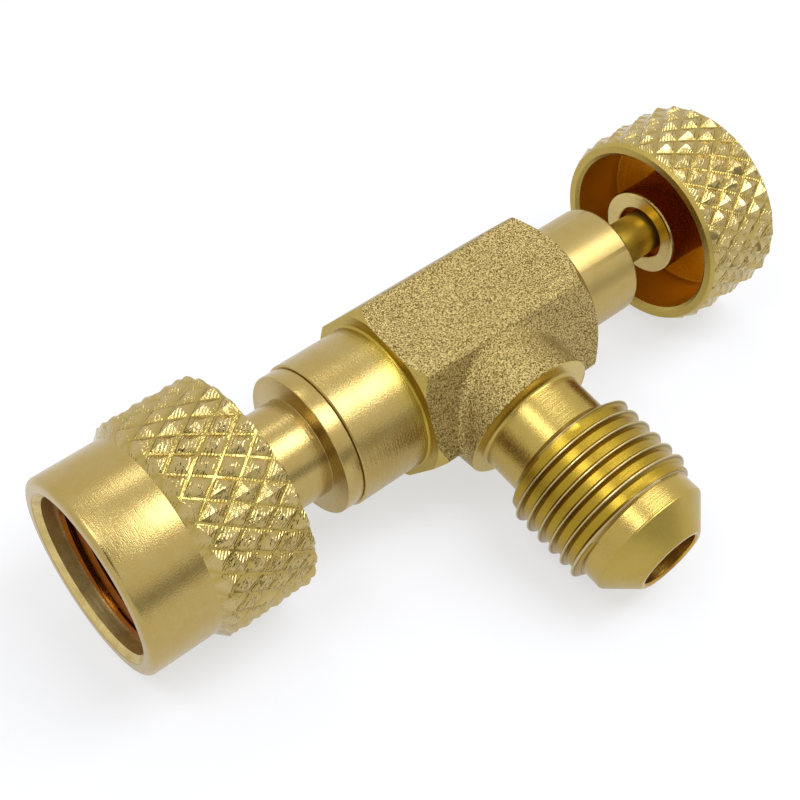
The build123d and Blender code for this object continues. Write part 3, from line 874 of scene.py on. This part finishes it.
def hexagon_columns():
    """Angles round the section, closer together at the six rounded edges, and their radii."""
    centre = (HEX_HALF - HEX_EDGE) / cos(radians(30))
    arc_end = atan2(HEX_EDGE * 0.5, centre + HEX_EDGE * cos(radians(30)))
    arc = np.linspace(-arc_end, arc_end, EDGE_COLUMNS)
    flat = np.linspace(arc_end, pi / 3 - arc_end, FLAT_COLUMNS + 2)[1:-1]
    sector = np.concatenate([arc, flat])
    angles = np.concatenate([sector + k * pi / 3 for k in range(6)])
    off = np.abs((angles + pi / 6) % (pi / 3) - pi / 6)
    rise = np.sqrt(np.maximum(HEX_EDGE**2 - (centre * np.sin(off)) ** 2, 0))
    on_arc = centre * np.cos(off) + rise
    on_flat = HEX_HALF / np.cos(pi / 6 - off)
    return angles, np.where(off < arc_end, on_arc, on_flat)


def hexagon_distance(y, z):
    """Signed distance from the rounded hexagon, for points across the section."""
    r, angle = np.hypot(y, z), np.arctan2(z, y)
    off = (angle % (pi / 3)) - pi / 6
    out = r * np.cos(off) - (HEX_HALF - HEX_EDGE)
    side = np.abs(r * np.sin(off)) - (HEX_HALF - HEX_EDGE) * tan(radians(30))
    return np.hypot(np.maximum(out, 0), np.maximum(side, 0)) + np.minimum(out, 0) - HEX_EDGE


body_angles, hex_r = hexagon_columns()
print("hexagon:", len(hex_r), "columns,", round(2 * hex_r.max(), 2), "mm over its edges")

# %% [markdown]
# The outside runs over the shoulder, along the hexagon and down to the bonnet. A cone cuts the
# hexagon's corners at both ends, and each column meets it at its own station. The nose of the tool
# leaves small coves, and the mesh's depth grows towards the front one, to paint shade into that
# corner.

# %% Outside of the body
HEX_FRONT_FACE_R, HEX_REAR_FACE_R = 7.5, 7.1
SHOULDER_R, BONNET_R, COVE = 6.4, 5.0, 0.2
SEAL_HOUSING_R = 5.53
# Painted shade: the depth, and with it the shoulder's deeper gold, grows into the corner before the
# hexagon.
CORNER_SHADE, CORNER_SHADE_START, CORNER_SHADE_LENGTH = 0.85, 25.0, 2.2
BODY_TURNED, BODY_SATIN, BODY_BLASTED, BODY_CUT = range(4)
PORT_TURNED, PORT_SATIN, PORT_THREAD, PORT_BORE, BOSS_RING = range(4, 9)
body_materials = [shoulder_corner_shade_brass, satin, blasted, cut_brass]
body_materials += [port_turned, port_satin, port_thread, bore_brass, ring_brass]


def cove(x, r, way, turns):
    """Rows of a small fillet between a turned end and the face at station x."""
    return [(x + way * COVE * (1 - sin(a)), r + COVE * (1 - cos(a))) for a in turns]


front_cut = np.maximum(hex_r - HEX_FRONT_FACE_R, 0)
rear_cut = hex_r - HEX_REAR_FACE_R
front_cove = cove(HEX_FRONT, SHOULDER_R, -1, np.linspace(0, pi / 2, 7))
rear_cove = cove(HEX_REAR, BONNET_R, 1, np.linspace(pi / 2, 0, 6))
outside = [
    (body_front, SEAL_HOUSING_R), (body_front, SHOULDER_R - 0.3),
    (body_front + 0.03, SHOULDER_R - 0.1), (body_front + 0.13, SHOULDER_R),
    (CORNER_SHADE_START, SHOULDER_R), (CORNER_SHADE_START + 1.0, SHOULDER_R),
    *front_cove,
    (HEX_FRONT, np.minimum(hex_r, HEX_FRONT_FACE_R), BODY_CUT),
    (HEX_FRONT + front_cut, hex_r, BODY_BLASTED),
    (HEX_REAR - rear_cut, hex_r, BODY_CUT),
    (HEX_REAR, HEX_REAR_FACE_R),
    *[(x, r, BODY_SATIN) for x, r in rear_cove],
    (bonnet_end - 0.35, BONNET_R), (bonnet_end - 0.1, BONNET_R - 0.1),
    (bonnet_end, BONNET_R - 0.3),
]
print("outside of the body:", len(outside), "rows")

# %% [markdown]
# The same loop comes back through the bores: the thread of the gland nut, the packing, the narrow
# way of the stem, the chamber behind the port, and the thread and seal housing of the tailpiece.
# That makes the body one closed skin.

# %% Bores of the body
GLAND_R, PACKING_R, STEM_WAY_R, CHAMBER_R = 4.02, 3.6, 2.05, 4.3
FRONT_WAY_R, TAIL_THREAD_R = 4.02, 5.02
GLAND_END, PACKING_END, CHAMBER_REAR, CHAMBER_FRONT = 49.7, 45.2, 39.45, 33.55
TAIL_THREAD_END, SEAL_HOUSING_END = 24.42, 22.18
bores = [
    (bonnet_end, GLAND_R), (GLAND_END, GLAND_R), (GLAND_END, PACKING_R),
    (PACKING_END, PACKING_R), (PACKING_END, STEM_WAY_R), (CHAMBER_REAR, STEM_WAY_R),
    (CHAMBER_REAR, CHAMBER_R), (CHAMBER_FRONT, CHAMBER_R), (CHAMBER_FRONT, FRONT_WAY_R),
    (TAIL_THREAD_END, FRONT_WAY_R), (TAIL_THREAD_END, TAIL_THREAD_R),
    (SEAL_HOUSING_END, TAIL_THREAD_R), (SEAL_HOUSING_END, SEAL_HOUSING_R),
]
body_rows = outside + bores
stations = np.array([row[0] + np.zeros_like(hex_r) for row in body_rows])
radii = np.array([row[1] + np.zeros_like(hex_r) for row in body_rows])
in_the_corner = np.clip((stations - CORNER_SHADE_START) / CORNER_SHADE_LENGTH, 0, 1)
body_grid = {
    "points": main_axis(polar(stations, radii, body_angles[None, :])),
    "finish": [row[2] if len(row) > 2 else BODY_TURNED for row in body_rows],
    # The depth paints shade into the corner in front of the hexagon.
    "depth": CORNER_SHADE * in_the_corner * (stations < HEX_FRONT + 0.01),
    "loop": True,
}
print("body:", len(body_rows), "rows of", len(hex_r), "columns")

# %% [markdown]
# The boss is a ruled surface from a circle at its machined face down to a wider oval inside the
# hexagon. Where a ruling meets the hexagon, a curve leaves the ruling early and lands on the
# hexagon tangentially, so the two forms run into each other as a forging's do. The curve is longer
# on the nut's side, where the real boss has a wide hollow.

# %% Side boss
BOSS_COLUMNS = 240
BOSS_FACE, BOSS_FACE_R, BOSS_SHIFT, BOSS_RISE, BOSS_EDGE = 9.05, 6.15, 0.2, 0.45, 0.12
ROOT_HEIGHT, ROOT_LONG_R, ROOT_WIDE_R, ROOT_SHIFT = 2.0, 5.8, 6.85, 0.8
BOSS_HOLE_R, BOSS_FLOOR, SUNK = 4.2, 3.2, 0.6
boss_c, boss_s = np.cos(ring_angles(BOSS_COLUMNS)), np.sin(ring_angles(BOSS_COLUMNS))
outward = np.stack([np.zeros(BOSS_COLUMNS), boss_c, boss_s], axis=1)


def oval(height, long_r, wide_r, shift=0.0, rise=0.0):
    """A ring of points round the port, at a distance from the valve's axis."""
    up = np.full(BOSS_COLUMNS, height)
    return np.stack([up, shift + long_r * boss_c, rise + wide_r * boss_s], axis=1)


def meet_hexagon(top, root):
    """The point of each ruling that lies on the hexagon."""
    low, high = np.zeros(BOSS_COLUMNS), np.ones(BOSS_COLUMNS)
    for _ in range(30):
        middle = (low + high) / 2
        p = top + (root - top) * middle[:, None]
        clear = hexagon_distance(-p[:, 0], p[:, 2]) > 0
        low, high = np.where(clear, middle, low), np.where(clear, high, middle)
    return top + (root - top) * low[:, None]


def onto_hexagon(foot, nudge=1e-4):
    """Slide points onto the hexagon, down the slope of their distance from it."""
    for _ in range(12):
        y, z = -foot[:, 0], foot[:, 2]
        d = hexagon_distance(y, z)
        slope_y = (hexagon_distance(y + nudge, z) - d) / nudge
        slope_z = (hexagon_distance(y, z + nudge) - d) / nudge
        foot[:, 0] += d * slope_y
        foot[:, 2] -= d * slope_z
    return foot


top = oval(BOSS_FACE, BOSS_FACE_R, BOSS_FACE_R, BOSS_SHIFT, BOSS_RISE)
meet = meet_hexagon(top, oval(ROOT_HEIGHT, ROOT_LONG_R, ROOT_WIDE_R, ROOT_SHIFT))
reach = (0.8 + 0.7 * np.clip(-boss_c, 0, 1))[:, None]
length = np.linalg.norm(top - meet, axis=1, keepdims=True)
lift = meet + (top - meet) / length * np.minimum(reach, length * 0.85)
foot = onto_hexagon(meet + outward * reach)
boss_rows = [
    oval(BOSS_FACE, BOSS_HOLE_R, BOSS_HOLE_R),
    top - outward * BOSS_EDGE,
    top - [BOSS_EDGE * 0.3, 0, 0] - outward * BOSS_EDGE * 0.3,
    top + (lift - top) * np.minimum(BOSS_EDGE / length, 0.5),
    *[lift * (1 - t) ** 2 + meet * 2 * t * (1 - t) + foot * t**2 for t in np.linspace(0, 1, 13)],
    (foot - [SUNK, 0, 0]) * [1, 0.9, 0.9],
    oval(BOSS_FLOOR, BOSS_HOLE_R, BOSS_HOLE_R),
]
boss_grid = {
    "points": port_place(np.array(boss_rows)),
    "finish": [BOSS_RING] * 2 + [BODY_BLASTED] * (len(boss_rows) - 2),
    "loop": True,
}
print("boss: blends over", round(reach.min(), 2), "to", round(reach.max(), 2), "mm")

# %% [markdown]
# ## The port
#
# The port is turned about its own axis: a neck, the flare thread, a land, the flare cone that
# seals against the hose, and the bore. It is drawn about X and then carried to its place.

# %% Port
PORT_NECK_R, NECK_COVE = 4.86, 0.3
THREAD_START, THREAD_END, THREAD_HEIGHT, THREAD_TURN = 12.8, 21.2, 0.45, 0.3
LAND_R, CONE_START, TIP_R = 5.48, 22.9, 3.15
PORT_INSIDE = 4.6


def port_limit(x):
    """The thread rises out of the neck and falls to the land."""
    rise = PORT_NECK_R + (x - THREAD_START) * 1.6
    return np.minimum(rise, thread_r + np.minimum(0, THREAD_END - THREAD_HEIGHT - x) * 1.4)


port_ends = (THREAD_START, THREAD_END), (PORT_NECK_R, LAND_R)
port_thread_grid = thread_grid(
    *port_ends, port_limit, thread_r, THREAD_HEIGHT, phase=THREAD_TURN
)
tip = CONE_START + (LAND_R - TIP_R)
neck_cove = [
    (BOSS_FACE + NECK_COVE * (1 - cos(a)), PORT_NECK_R + NECK_COVE * (1 - sin(a)))
    for a in np.linspace(0, pi / 2, 7)
]
port_head = lathe(
    [
        (THREAD_END, LAND_R), (CONE_START - 0.08, LAND_R), (CONE_START - 0.03, LAND_R - 0.06),
        (CONE_START + 0.07, LAND_R - 0.07), (tip - 0.12, TIP_R + 0.12), (tip, TIP_R - 0.05),
        (tip, bore_r + 0.15), (tip - 0.15, bore_r), (PORT_INSIDE, bore_r),
        (PORT_INSIDE, PORT_NECK_R + NECK_COVE), (BOSS_FACE - 0.03, PORT_NECK_R + NECK_COVE),
        *neck_cove,
        (THREAD_START, PORT_NECK_R),
    ],
    finish=[PORT_TURNED] + [PORT_SATIN] * 4 + [PORT_TURNED]
    + [PORT_BORE] * 3 + [PORT_TURNED] * 9,
)
port_thread_grid["finish"] = PORT_THREAD
for grid in (port_thread_grid, port_head):
    grid["points"] = port_place(grid["points"])
print("port: thread", round(2 * thread_r, 2), "mm, tip at", round(tip, 2), "mm")

# %% [markdown]
# The body is drilled through to the chamber, as the real one is, and the boss and the port are
# then joined to it as one piece.

# %% Drill the body and join the port to it
DRILL_R, DRILL_START, DRILL_END = bore_r + 0.01, -0.5, 12.0
CENTRE_R = 0.001
drill_outline = [(DRILL_START, CENTRE_R), (DRILL_START, DRILL_R)]
drill_outline += [(DRILL_END, DRILL_R), (DRILL_END, CENTRE_R)]
drill_grid = {"points": port_place(swept(drill_outline, 96)), "loop": True}
drill = bpy.data.objects.new("drill", mesh_of("drill", [drill_grid]))
bar = bpy.data.objects.new("bar", mesh_of("bar", [body_grid]))
for tool in (drill, bar):
    bpy.context.scene.collection.objects.link(tool)
bar_cut = bar.modifiers.new("port bore", "BOOLEAN")
bar_cut.operation = "DIFFERENCE"
bar_cut.solver = "EXACT"
bar_cut.object = drill
drilled = bpy.data.meshes.new_from_object(bar.evaluated_get(bpy.context.evaluated_depsgraph_get()))
joined = bmesh.new()
joined.from_mesh(drilled)
joined.from_mesh(mesh_of("port", [boss_grid, port_thread_grid, port_head]))
bmesh.ops.triangulate(joined, faces=joined.faces)
body_mesh = bpy.data.meshes.new("body")
joined.to_mesh(body_mesh)
joined.free()
for tool in (drill, bar):
    bpy.data.objects.remove(tool)
make_piece("body_shell", body_mesh, body_materials, "valve_body", "body")

# %% [markdown]
# ## The tailpiece
#
# The neck and its thin flange stand between the nut and the body. The plug behind the flange
# screws into the body, with its seal in the groove between.

# %% Tailpiece
TAIL_FRONT, NECK_START, FLANGE_START, FLANGE_END = 9.4, 11.4, 19.65, 21.2
GROOVE_END, PLUG_END = 22.2, 24.4
TAIL_BORE_R, TAIL_NOSE_R, NECK_R, FLANGE_R, GROOVE_R, PLUG_R = 2.7, 3.5, 4.28, 6.2, 4.55, 5.0
tail_grid = lathe(
    [
        (TAIL_FRONT, TAIL_BORE_R), (TAIL_FRONT, TAIL_NOSE_R), (NECK_START, TAIL_NOSE_R),
        (NECK_START, NECK_R), (FLANGE_START - 0.12, NECK_R),
        (FLANGE_START - 0.03, NECK_R + 0.03), (FLANGE_START, NECK_R + 0.12),
        (FLANGE_START, FLANGE_R - 0.2), (FLANGE_START + 0.02, FLANGE_R - 0.06),
        (FLANGE_START + 0.08, FLANGE_R - 0.01), (FLANGE_START + 0.15, FLANGE_R),
        (FLANGE_END - 0.12, FLANGE_R), (FLANGE_END - 0.05, FLANGE_R - 0.02),
        (FLANGE_END - 0.01, FLANGE_R - 0.08), (FLANGE_END, FLANGE_R - 0.2),
        (FLANGE_END, GROOVE_R), (GROOVE_END, GROOVE_R), (GROOVE_END, PLUG_R),
        (PLUG_END, PLUG_R), (PLUG_END, TAIL_BORE_R),
    ],
    loop=True,
)
tail_mesh = mesh_of("tailpiece", [tail_grid])
make_piece("tailpiece_shell", tail_mesh, [turned], "valve_body", "tailpiece")

# %% [markdown]
# ## Finishes for the pieces kept from the frame
#
# The CAD model already has the small pieces inside right. They only need their materials.

# %% Give each kept CAD node its material
kept = [
    (stem_brass, ["stem"]),
    (turned, ["depressor_pin", "seat_bush", "slip_washer", "gland_nut", "packing_washer"]),
    (plastic, ["gland_ring", "flare_gasket"]),
    (rubber, ["tail_seal", "stem_seal"]),
]
for material, names in kept:
    for name in names:
        slots = frame["nodes"][name].data.materials
        slots.clear()
        slots.append(material)
    print(material.name, "on", ", ".join(names))

# %% [markdown]
# ## Floor, light and camera
#
# The valve lies on a white table. The camera and the polished brass see it as bright, a little
# less so near the valve, which keeps some light off it. For all other light it is white paper.

# %% Floor
FLOOR_HALF = 3.0
FADE_MIDDLE = (0.033, 0.0, cad_box[0][2])


def seen_directly(tree):
    """A mask of the rays that see a surface straight, in a reflection or through glass."""
    path = node(tree, "LightPath").outputs
    shown = maths(tree, "MAXIMUM", path["Is Camera Ray"], path["Is Glossy Ray"])
    return maths(tree, "MAXIMUM", shown, path["Is Transmission Ray"])


def plane(name, half, z, material):
    """A level square that belongs to the stage."""
    mesh = bpy.data.meshes.new(name)
    corners = [(-half, -half, z), (half, -half, z), (half, half, z), (-half, half, z)]
    mesh.from_pydata(corners, [], [(0, 1, 2, 3)])
    mesh.materials.append(material)
    made = bpy.data.objects.new(name, mesh)
    bpy.context.scene.collection.objects.link(made)
    return made


floor_white, tree, paper = new_material("floor white")
paper.inputs["Base Color"].default_value = (0.92, 0.92, 0.92, 1)
paper.inputs["Roughness"].default_value = 0.9
away = node(tree, "VectorMath")
away.operation = "DISTANCE"
tree.links.new(node(tree, "TexCoord").outputs["Object"], away.inputs[0])
away.inputs[1].default_value = FADE_MIDDLE
fade = between(tree, away.outputs["Value"], 0.09, 0.22, 0.6, 1.0)
glow = node(tree, "Emission")
floor_mix = node(tree, "MixShader")
tree.links.new(times(tree, seen_directly(tree), fade), floor_mix.inputs["Fac"])
tree.links.new(paper.outputs[0], floor_mix.inputs[1])
tree.links.new(glow.outputs[0], floor_mix.inputs[2])
tree.links.new(floor_mix.outputs[0], tree.nodes["Material Output"].inputs["Surface"])
plane("floor", FLOOR_HALF, cad_box[0][2], floor_white)
print("floor at", round(cad_box[0][2] * 1000, 3), "mm")

# %% [markdown]
# The room is white to the camera and in reflections. To everything else it is a soft grey, so
# that it fills the shadows without flooding them.

# %% World
world = bpy.data.worlds.new("studio")
bpy.context.scene.world = world
world.use_nodes = True
tree = world.node_tree
white_room = tree.nodes["Background"]
white_room.inputs["Color"].default_value = (1, 1, 1, 1)
white_room.inputs["Strength"].default_value = 1.0
grey_room = node(tree, "Background", Color=(1, 1, 1, 1), Strength=0.6)
choose = node(tree, "MixShader", Fac=seen_directly(tree))
tree.links.new(grey_room.outputs[0], choose.inputs[1])
tree.links.new(white_room.outputs[0], choose.inputs[2])
tree.links.new(choose.outputs[0], tree.nodes["World Output"].inputs["Surface"])
print("world:", world.name)

# %% [markdown]
# Three soft boxes hang over the table. Their light is a little blue, which keeps the brass from
# turning orange.

# %% Lights
LAMP_WHITE = (0.95, 1.0, 1.16)


def soft_box(name, place, size, brightness):
    """A rectangular lamp that shines straight down, with the brightness of its face."""
    light = bpy.data.lights.new(name, "AREA")
    light.shape = "RECTANGLE"
    light.size, light.size_y = size
    light.energy = brightness * pi * size[0] * size[1]
    light.color = LAMP_WHITE
    lamp = bpy.data.objects.new(name, light)
    bpy.context.scene.collection.objects.link(lamp)
    lamp.location = place
    print(name, round(light.energy, 3), "W")


soft_box("main light", (0.20, -0.115, 0.35), (0.32, 0.21), 4.4)
soft_box("left light", (-0.135, 0.03, 0.35), (0.13, 0.18), 4.0)
soft_box("back light", (0.10, 0.215, 0.35), (0.12, 0.08), 3.4)

# %% [markdown]
# Polished brass shows its surroundings, and in an all-white room it would look like cream. Two
# dark cards, which only the reflections see, give its facets something to show.

# %% Dark cards
def dark_card(name, place, way, size, shade):
    """A dark card that only the reflections see."""
    paper, tree, _ = new_material(name)
    paint = node(tree, "Emission", Color=(shade, shade, shade, 1))
    tree.links.new(paint.outputs[0], tree.nodes["Material Output"].inputs["Surface"])
    card = plane(name, 0.5, 0, paper)
    card.location = place
    card.scale = (*size, 1)
    card.rotation_mode = "QUATERNION"
    card.rotation_quaternion = Vector(way).to_track_quat("Z", "Y")
    card.visible_camera = False
    card.visible_diffuse = False
    card.visible_shadow = False
    print(name, size, "m, shade", shade)


dark_card("front card", (-0.052, -0.048, 0.095), (0.62, 0.5, -0.95), (0.045, 0.07), 0.03)
dark_card("low card", (-0.05, -0.60, 0.08), (0, 1, 0), (1.2, 0.22), 0.38)

# %% [markdown]
# The camera stands close above the table, in front of the nut, and is rolled a little.

# %% Camera
camera_data = bpy.data.cameras.new("camera")
camera_data.sensor_width = 36.0
camera_data.lens = 63.62
camera = bpy.data.objects.new("camera", camera_data)
bpy.context.scene.collection.objects.link(camera)
bpy.context.scene.camera = camera
stands_at = Vector((-20.926, -57.522, 87.172)) / 1000
aims_at = Vector((28.337, -2.043, 0.998)) / 1000
roll = Quaternion((0, 0, 1), radians(1.514))
camera.location = stands_at
camera.rotation_mode = "QUATERNION"
camera.rotation_quaternion = (aims_at - stands_at).to_track_quat("-Z", "Y") @ roll
camera_data.clip_start = 0.005
camera_data.clip_end = 20.0
print("camera", round((aims_at - stands_at).length * 1000, 1), "mm away")

# %% [markdown]
# ## Finish
#
# The picture uses the standard view transform.

# %% Finish
view = bpy.context.scene.view_settings
view.view_transform = "Standard"
